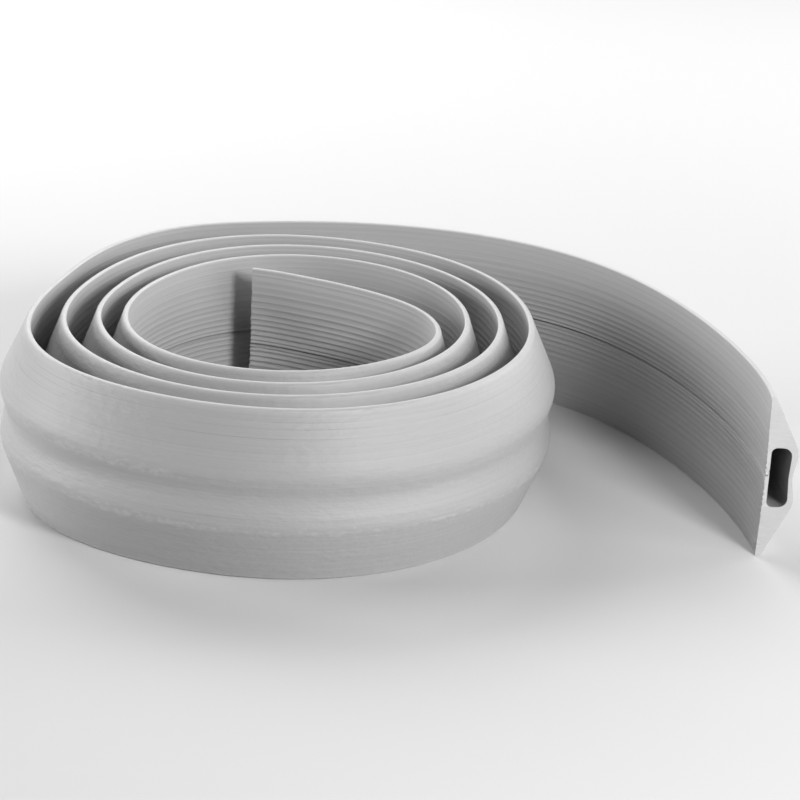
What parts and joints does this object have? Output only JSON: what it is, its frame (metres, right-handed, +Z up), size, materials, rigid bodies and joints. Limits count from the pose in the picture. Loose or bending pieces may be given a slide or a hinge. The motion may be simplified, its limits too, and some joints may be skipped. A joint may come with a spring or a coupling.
{
  "type": "floor cable cover",
  "caption": "Soft floor cable cover strip with a slit channel in its base, wound as a loose coil standing on its edge, with a free tail.",
  "frame": {"origin": "middle of the coil's outline seen from above, on the surface that it stands on", "axes": "+Z up, across the strip; +X from the coil towards the tail; the tail's free end points along -Y"},
  "size_m": [0.371, 0.3162, 0.083],
  "materials": {
    "soft_pvc": "matt light grey, as extruded"
  },
  "bodies": {
    "root": {"cable_cover": "soft_pvc"}
  },
  "joints": []
}
